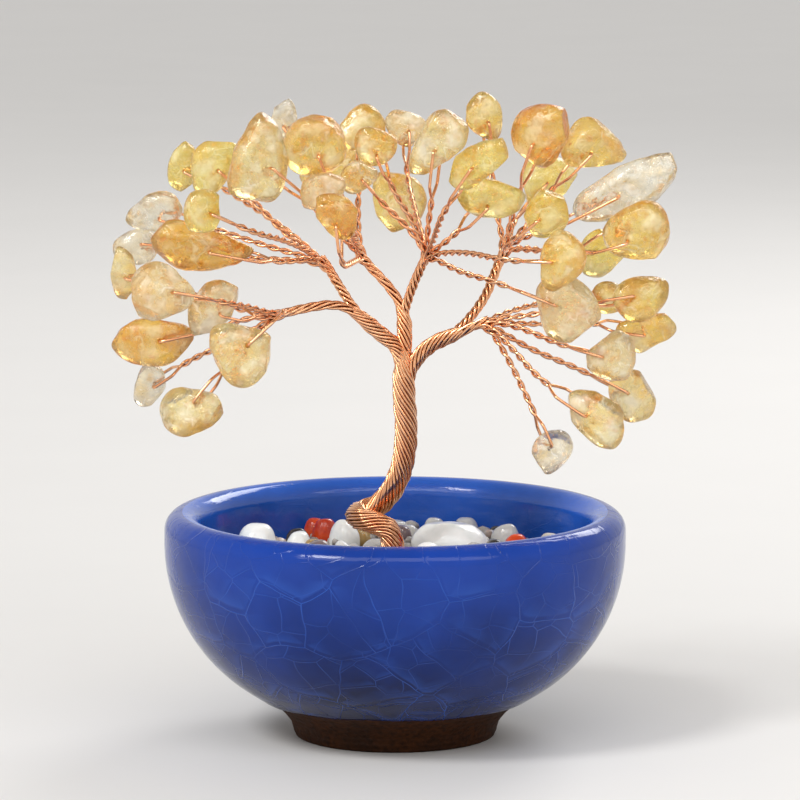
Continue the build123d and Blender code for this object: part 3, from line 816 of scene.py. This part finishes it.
class ORNAMENT_OT_bowl(bpy.types.Operator):
    """Turn the bowl, glaze it and leave its foot bare"""
    bl_idname = "ornament.bowl"
    bl_label = "Glazed Bowl"

    def execute(self, context):
        bowl = settings("bowl")
        bm = bmesh.new()
        bare = self.foot_outline(bowl)
        glazed = self.belly_outline(bowl)
        verts = [bm.verts.new((radius, 0, height)) for radius, height in bare + glazed]
        edges = [bm.edges.new(pair) for pair in zip(verts, verts[1:])]
        bmesh.ops.spin(bm, geom=verts + edges, cent=(0, 0, 0), axis=(0, 0, 1),
                       angle=2 * math.pi, steps=SPIN_STEPS, use_merge=True)
        bmesh.ops.remove_doubles(bm, verts=bm.verts, dist=1e-6)
        bmesh.ops.recalc_face_normals(bm, faces=bm.faces)
        edge_radius, edge_height = bare[-1]
        for face in bm.faces:
            middle = face.calc_center_median()
            radius = math.hypot(middle.x, middle.y)
            inward = middle.x * face.normal.x + middle.y * face.normal.y < 0
            if middle.z < edge_height and radius < edge_radius:
                face.material_index = 1
            elif inward and radius < BOWL_RADIUS - bowl.wall / 2:
                face.material_index = 2
        self.unroll(bm)
        self.waver(bm, bowl, edge_radius, edge_height)
        outer = glaze_material("cobalt_crackle_glaze", bowl, 1.0, 0.26, bowl.bright_blue)
        clay = clay_material(bowl)
        # Painted light: the inside takes a lighter copy of the glaze, standing in for light falling inside the
        # bowl
        inner = glaze_material("cobalt_inner_glaze_painted_light", bowl, 0.3, 0.5, bowl.painted_lit_inner_blue)
        piece = piece_from_mesh("bowl_glazed", mesh_from(bm), [outer, clay, inner], slot="cobalt_glaze",
                                replaced=["bowl"])
        piece.data.set_sharp_from_angle(angle=SHARP_ANGLE)
        return {"FINISHED"}

    def foot_outline(self, bowl):
        """Radius and height from under the foot, out and up the bare cove to the glaze's edge."""
        foot = bowl.foot_diameter / 2 - bowl.foot_taper
        ease = bowl.glaze_roll
        points = [(0, bowl.foot_recess), (foot - bowl.foot_ring - ease, bowl.foot_recess),
                  (foot - bowl.foot_ring, bowl.foot_recess - ease), (foot - bowl.foot_ring, 0),
                  (foot - ease, 0), (foot - ease * 0.3, ease * 0.3), (foot, ease)]
        for share in (0.3, 0.6, 0.9, 1.0):
            points.append((foot + bowl.foot_taper * share, bowl.foot_height * share))
        start = Vector(points[-1])
        end = Vector(self.belly_point(bowl, self.glaze_start(bowl)))
        hollow = Vector((start.y - end.y, end.x - start.x)).normalized() * bowl.foot_cove
        for step in range(COVE_STEPS):
            share = (step + 1) / COVE_STEPS
            points.append(tuple(start.lerp(end, share) + hollow * math.sin(math.pi * share)))
        return points

    def belly_point(self, bowl, angle):
        """Radius and height of the belly's outer face, by its angle up from below."""
        centre = bowl.floor_diameter / 2
        band = BOWL_HEIGHT - bowl.rim_band
        reach = BOWL_RADIUS - centre
        return centre + reach * math.sin(angle), band - (band - bowl.belly_base) * math.cos(angle)

    def glaze_start(self, bowl):
        edge = bowl.foot_diameter / 2 + bowl.foot_flare
        centre = bowl.floor_diameter / 2
        return math.asin((edge - centre) / (BOWL_RADIUS - centre))

    def belly_outline(self, bowl):
        """Radius and height from the glaze's rolled edge, over the lip, and down the inside to the axis."""
        low = self.glaze_start(bowl)
        points = []
        for step in range(1, BELLY_STEPS + 1):
            angle = low + (math.pi / 2 - low) * step / BELLY_STEPS
            radius, height = self.belly_point(bowl, angle)
            roll = bowl.glaze_roll * 0.5 ** step
            points.append((radius + roll * math.sin(angle), height - roll * math.cos(angle)))
        lip = bowl.wall / 2
        for step in range(LIP_STEPS + 1):
            angle = math.pi * step / LIP_STEPS
            radius = BOWL_RADIUS - lip + lip * math.cos(angle)
            points.append((radius, BOWL_HEIGHT - lip + lip * math.sin(angle)))
        centre = bowl.floor_diameter / 2
        band = BOWL_HEIGHT - bowl.rim_band
        for step in range(LIP_STEPS + 1):
            angle = math.pi / 2 * step / LIP_STEPS
            radius = centre + (BOWL_RADIUS - centre - bowl.wall) * math.cos(angle)
            points.append((radius, band - (band - bowl.belly_base - bowl.wall) * math.sin(angle)))
        points.append((0, bowl.belly_base + bowl.wall))
        return points

    def unroll(self, bm):
        """Lays the glaze out flat: round the bowl by the way along the rim, up it by height and radius."""
        layer = bm.loops.layers.uv.new("glaze")
        for face in bm.faces:
            angles = [math.atan2(loop.vert.co.x, -loop.vert.co.y) for loop in face.loops]
            split = max(angles) - min(angles) > math.pi
            for loop, angle in zip(face.loops, angles):
                radius = math.hypot(loop.vert.co.x, loop.vert.co.y)
                turn = angle + 2 * math.pi if split and angle < 0 else angle
                loop[layer].uv = (turn * BOWL_RADIUS * 0.85, loop.vert.co.z + radius * 0.6)

    def waver(self, bm, bowl, edge_radius, edge_height):
        """Lets the glaze's edge run up and down a little."""
        slope = Vector((bowl.foot_flare, edge_height - bowl.foot_height)).normalized()
        for vert in bm.verts:
            radius = math.hypot(vert.co.x, vert.co.y)
            near = 1 - abs(radius - edge_radius) / bowl.foot_flare / 0.6
            if near > 0 and vert.co.z < bowl.belly_base + bowl.wall:
                slide = bowl.glaze_waver * near * noise.noise(Vector((vert.co.x, vert.co.y, 0)) / 0.006)
                grow = (radius + slope.x * slide) / radius
                vert.co = Vector((vert.co.x * grow, vert.co.y * grow, vert.co.z + slope.y * slide))


class ORNAMENT_OT_bed(bpy.types.Operator):
    """Dress the plaster and scatter grit between the pebbles"""
    bl_idname = "ornament.bed"
    bl_label = "Plaster and Grit"

    def execute(self, context):
        stones = settings("stones")
        plaster = frame["nodes"]["plaster_fill"]
        plaster.data.materials.clear()
        plaster.data.materials.append(plaster_material())
        draw = random.Random(stones.seed)
        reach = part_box("plaster_fill")[1].x - stones.grit
        bm = bmesh.new()
        for grain in range(stones.grit_count):
            away = reach * math.sqrt((grain + 0.5) / stones.grit_count)
            angle = grain * GOLDEN_ANGLE
            size = stones.grit * draw.uniform(0.35, 0.62)
            made = bmesh.ops.create_icosphere(bm, subdivisions=2, radius=size)["verts"]
            for vert in made:
                vert.co *= 1 + 0.35 * noise.noise(vert.co / size * 0.9 + Vector((grain, 0, 0)))
                vert.co.z *= 0.75
            height = FILL_TOP + size * draw.uniform(0.2, 1.4)
            place = Vector((away * math.cos(angle), away * math.sin(angle), height))
            turn = Matrix.Rotation(draw.uniform(0, 2 * math.pi), 4, "Z")
            bmesh.ops.transform(bm, matrix=Matrix.Translation(place) @ turn, verts=made)
        dark, light, vein = (0.16, 0.14, 0.13), (0.72, 0.70, 0.67), (0.42, 0.20, 0.13)
        material = stone_material("mixed_grit", dark, light, vein, size=0.0028, roughness=0.4)
        piece_from_mesh("grit", mesh_from(bm), [material], slot="dark_stone")
        return {"FINISHED"}


class ORNAMENT_OT_stones(bpy.types.Operator):
    """Tumble the pebbles"""
    bl_idname = "ornament.stones"
    bl_label = "Pebbles"

    def execute(self, context):
        stones = settings("stones")
        draw = random.Random(stones.seed)
        for node, slot in STONE_SLOTS.items():
            finishes = [stone_material(f"{node}_{place}", *look) for place, look in enumerate(STONES[node])]
            whole = bmesh.new()
            for order, solid in enumerate(solids(merged_copy(node, stones.grain))):
                mesh = mesh_from(self.tumbled(solid, stones, draw))
                mesh.polygons.foreach_set("material_index", [order % len(finishes)] * len(mesh.polygons))
                whole.from_mesh(mesh)
                bpy.data.meshes.remove(mesh)
            piece_from_mesh(f"{node}_tumbled", mesh_from(whole), finishes, slot=slot, replaced=[node])
        return {"FINISHED"}

    def tumbled(self, solid, stones, draw):
        """One pebble, lying flat, worn and rounded."""
        bm = evened(solid, stones.grain)
        upward = Vector((draw.gauss(0, 0.12), draw.gauss(0, 0.12), 1)).normalized()
        press(bm.verts, upward, draw.uniform(0.7, 0.85))
        wear(bm.verts, stones.flats, (0.78, 0.95), draw)
        roughen(bm, stones.dent, 0.0034, draw.uniform(0, 100))
        soften(bm, 12)
        return bm


class ORNAMENT_OT_wood(bpy.types.Operator):
    """Twist the trunk and the limbs from copper strands"""
    bl_idname = "ornament.wood"
    bl_label = "Trunk and Limbs"

    def execute(self, context):
        wires = settings("wires")
        # The second material is painted shade: dark copper for the core seen between the strands
        copper = [copper_material("drawn_copper", wires, wires.bright, wires.dull),
                  copper_material("painted_shade_copper", wires, wires.gap, wires.gap)]
        for name, route in limb_routes(wires).items():
            if name == "trunk":
                mesh = bundle_mesh(route, wires.trunk, wires, head_share=0.6, tail_share=1.0)
            else:
                fork_share = LIMBS[name][2]
                diameter = wires.limb if fork_share else wires.branch
                mesh = bundle_mesh(route, diameter, wires, head_share=0.8, tail_share=0.7,
                                   fork_share=fork_share)
            piece_from_mesh(f"{name}_strands", mesh, copper, slot="copper_wire", replaced=[name])
        return {"FINISHED"}


class ORNAMENT_OT_twigs(bpy.types.Operator):
    """Twist a wire pair to every chip and thread it through the hole"""
    bl_idname = "ornament.twigs"
    bl_label = "Twigs"

    def execute(self, context):
        wires = settings("wires")
        copper = bpy.data.materials["drawn_copper"]
        roots = {}
        routes = limb_routes(wires)
        for name, (parent, share, fork_share, seen) in LIMBS.items():
            before, tip = seen_at(*seen[-2]), seen_at(*seen[-1])
            root = tip - (tip - before).normalized() * wires.branch / 2
            roots[name] = (root, routes[name][-TWIG_LEAD])
        threads = [Thread(joint, roots, wires) for joint in frame["joints"]]
        for node, limbs in TWIG_NODES.items():
            lines = [thread.wire_line(wires, order) for order, thread in enumerate(threads)
                     if thread.limb in limbs]
            mesh = curve_mesh(lines, "POLY", wires.wire / 2)
            piece_from_mesh(f"{node}_twisted", mesh, [copper], slot="copper_wire", replaced=[node])
        return {"FINISHED"}


class ORNAMENT_OT_chips(bpy.types.Operator):
    """Break, tumble and polish the crystal chips"""
    bl_idname = "ornament.chips"
    bl_label = "Crystal Chips"

    def execute(self, context):
        chips = settings("chips")
        finishes = {name: crystal_material(name, *look) for name, look in CRYSTALS.items()}
        slots = {part["node"]: part["material_slot"] for part in frame["record"]["subparts"]}
        for order, joint in enumerate(frame["joints"]):
            chip = joint["child"]
            bm = evened(merged_copy(chip, chips.grain), chips.grain)
            wear(bm.verts, chips.facets, (0.8, 0.95), random.Random(chips.seed + order))
            roughen(bm, chips.dent, 0.0032, order)
            roughen(bm, chips.dent * 0.3, 0.0012, order + 0.5)
            soften(bm, 2)
            short = chip.removeprefix("chip_")
            look = next((name for name, members in CHIP_FINISHES.items() if short in members), "pale")
            mesh = mesh_from(bm)
            self.mark_rim(mesh, Vector(joint["axis"]))
            piece_from_mesh(f"{chip}_crystal", mesh, [finishes[look]], body=chip, slot=slots[chip],
                            replaced=[chip])
        return {"FINISHED"}

    def mark_rim(self, mesh, axis):
        """Stores how far the surface turns from the chip's two faces to its rim."""
        rim = mesh.attributes.new("rim", "FLOAT", "POINT")
        rim.data.foreach_set("value", [1 - abs(normal.vector.dot(axis)) for normal in mesh.vertex_normals])


FLOOR_REACH = 3.0
KEY_PLACE = (-0.55, -0.52, 0.85)
KEY_ANGLE = math.radians(15)
# How far up the backdrop starts and ends turning into the ceiling
CEILING_SHARES = (0.25, 0.9)
# Place, width, height and power of the lamps beside the key
SOFTBOXES = (
    ("front_box", (0.0, -0.42, 0.42), 1.1, 0.22, 2.0),
    ("back_box", (0.22, 0.40, 0.36), 0.22, 0.22, 0.9),
)


class ORNAMENT_OT_stage(bpy.types.Operator):
    """Set the floor, the light and the camera"""
    bl_idname = "ornament.stage"
    bl_label = "Stage"

    def execute(self, context):
        stage = settings("stage")
        scene = context.scene
        scene.view_settings.view_transform = "Standard"
        self.floor(stage)
        self.world(scene, stage)
        key = bpy.data.lights.new("key", "SUN")
        key.energy = stage.sun
        key.angle = KEY_ANGLE
        self.lamp(key, KEY_PLACE)
        for name, place, width, height, power in SOFTBOXES:
            box = bpy.data.lights.new(name, "AREA")
            box.shape = "RECTANGLE"
            box.size = width
            box.size_y = height
            box.energy = power
            self.lamp(box, place)
        sight = Vector(stage.aim) - EYE
        lens = bpy.data.cameras.new("camera")
        lens.lens = lens.sensor_width * sight.length / (stage.columns * PIXEL)
        camera = bpy.data.objects.new("camera", lens)
        camera.location = EYE
        camera.rotation_euler = sight.to_track_quat("-Z", "Y").to_euler()
        scene.collection.objects.link(camera)
        scene.camera = camera
        return {"FINISHED"}

    def floor(self, stage):
        bm = bmesh.new()
        bmesh.ops.create_grid(bm, x_segments=1, y_segments=1, size=FLOOR_REACH)
        mesh = mesh_from(bm)
        mesh.materials.append(floor_material(stage))
        floor = bpy.data.objects.new("floor", mesh)
        bpy.context.scene.collection.objects.link(floor)

    def world(self, scene, stage):
        """A pale backdrop under a grey ceiling for camera, gloss and glass, and even light for the rest."""
        world = bpy.data.worlds.new("backdrop")
        world.use_nodes = True
        scene.world = world
        nodes = Nodes(world.node_tree)
        background = nodes.tree.nodes["Background"]
        background.inputs["Color"].default_value = (*stage.sky, 1)
        path = nodes.node("ShaderNodeLightPath", {}).outputs
        seen = nodes.math("MAXIMUM", path["Is Camera Ray"], path["Is Transmission Ray"])
        shown = nodes.math("MAXIMUM", seen, path["Is Glossy Ray"])
        way = nodes.node("ShaderNodeTexCoord", {}).outputs["Generated"]
        height = nodes.node("ShaderNodeSeparateXYZ", {0: way}).outputs["Z"]
        backdrop = nodes.band(height, *CEILING_SHARES, 1.0, stage.ceiling)
        strength = nodes.band(shown, 0.0, 1.0, stage.ambient, backdrop)
        nodes.plug(background.inputs["Strength"], strength)

    def lamp(self, light, place):
        lamp = bpy.data.objects.new(light.name, light)
        lamp.location = place
        sight = Vector((0, 0, BOWL_HEIGHT)) - Vector(place)
        lamp.rotation_euler = sight.to_track_quat("-Z", "Y").to_euler()
        bpy.context.scene.collection.objects.link(lamp)


class ORNAMENT_PT_panel(bpy.types.Panel):
    """Lists the pieces and their settings"""
    bl_label = "Gemstone Tree"
    bl_idname = "ORNAMENT_PT_panel"
    bl_space_type = "VIEW_3D"
    bl_region_type = "UI"
    bl_category = "Ornament"

    def draw(self, context):
        for operator in OPERATORS:
            self.layout.operator(operator.bl_idname)
        for group in GROUPS:
            box = self.layout.box()
            box.label(text=group.title())
            for name in GROUPS[group].__annotations__:
                box.prop(settings(group), name)


GROUPS = {
    "bowl": BowlSettings,
    "wires": WireSettings,
    "chips": ChipSettings,
    "stones": StoneSettings,
    "stage": StageSettings,
}
OPERATORS = (
    ORNAMENT_OT_bowl,
    ORNAMENT_OT_bed,
    ORNAMENT_OT_stones,
    ORNAMENT_OT_wood,
    ORNAMENT_OT_chips,
    ORNAMENT_OT_twigs,
    ORNAMENT_OT_stage,
)


def register():
    for group, made in GROUPS.items():
        bpy.utils.register_class(made)
        setattr(bpy.types.Scene, f"ornament_{group}", PointerProperty(type=made))
    for made in (*OPERATORS, ORNAMENT_PT_panel):
        bpy.utils.register_class(made)


def unregister():
    for made in (ORNAMENT_PT_panel, *reversed(OPERATORS)):
        bpy.utils.unregister_class(made)
    for group, made in GROUPS.items():
        delattr(bpy.types.Scene, f"ornament_{group}")
        bpy.utils.unregister_class(made)


def main():
    register()
    bpy.ops.ornament.stage()
    bpy.ops.ornament.bowl()
    bpy.ops.ornament.bed()
    bpy.ops.ornament.stones()
    bpy.ops.ornament.wood()
    bpy.ops.ornament.chips()
    bpy.ops.ornament.twigs()


if __name__ == "__main__":
    main()
